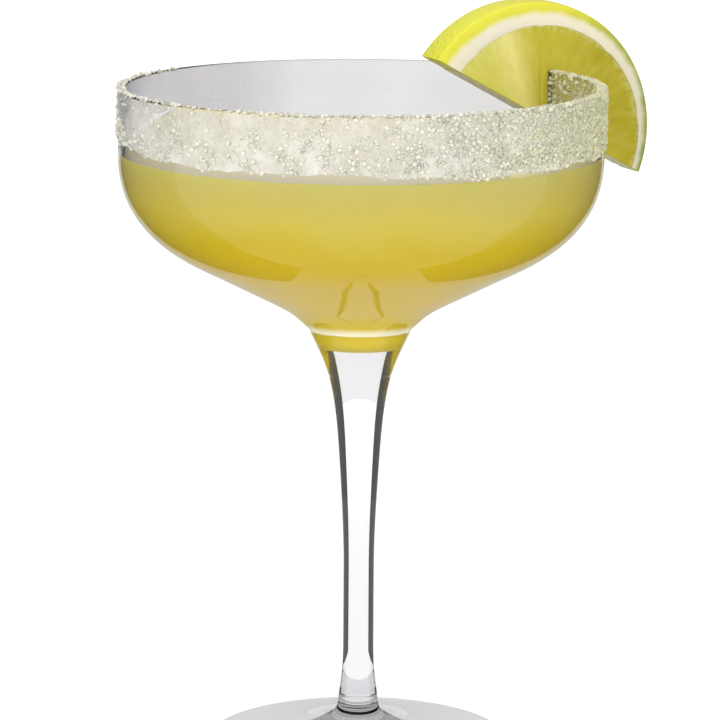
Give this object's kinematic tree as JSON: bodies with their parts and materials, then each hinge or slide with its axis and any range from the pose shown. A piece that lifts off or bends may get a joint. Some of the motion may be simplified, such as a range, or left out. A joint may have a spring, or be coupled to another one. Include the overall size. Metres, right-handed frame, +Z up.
{
  "type": "margarita cocktail in a coupe glass",
  "caption": "Stemmed coupe glass with a salted rim, filled with a hazy golden cocktail, and a half wheel of lime slit onto the rim.",
  "frame": {"origin": "centre of the flat underside of the glass's foot, on the glass's axis", "axes": "+Z up along the stem; the lime sits over the rim on the +X, +Y side; the front is -Y"},
  "size_m": [0.118, 0.1066, 0.1621],
  "materials": {
    "clear_glass": "clear, fire polished",
    "cocktail": "hazy golden-yellow liquid",
    "salt": "coarse damp salt grains",
    "lime": "cut citrus: juicy flesh, pale pith, yellow-green rind"
  },
  "bodies": {
    "root": {"glass": "clear_glass", "drink": "cocktail", "salt_crust": "salt", "lime_wheel": "lime"}
  },
  "joints": []
}
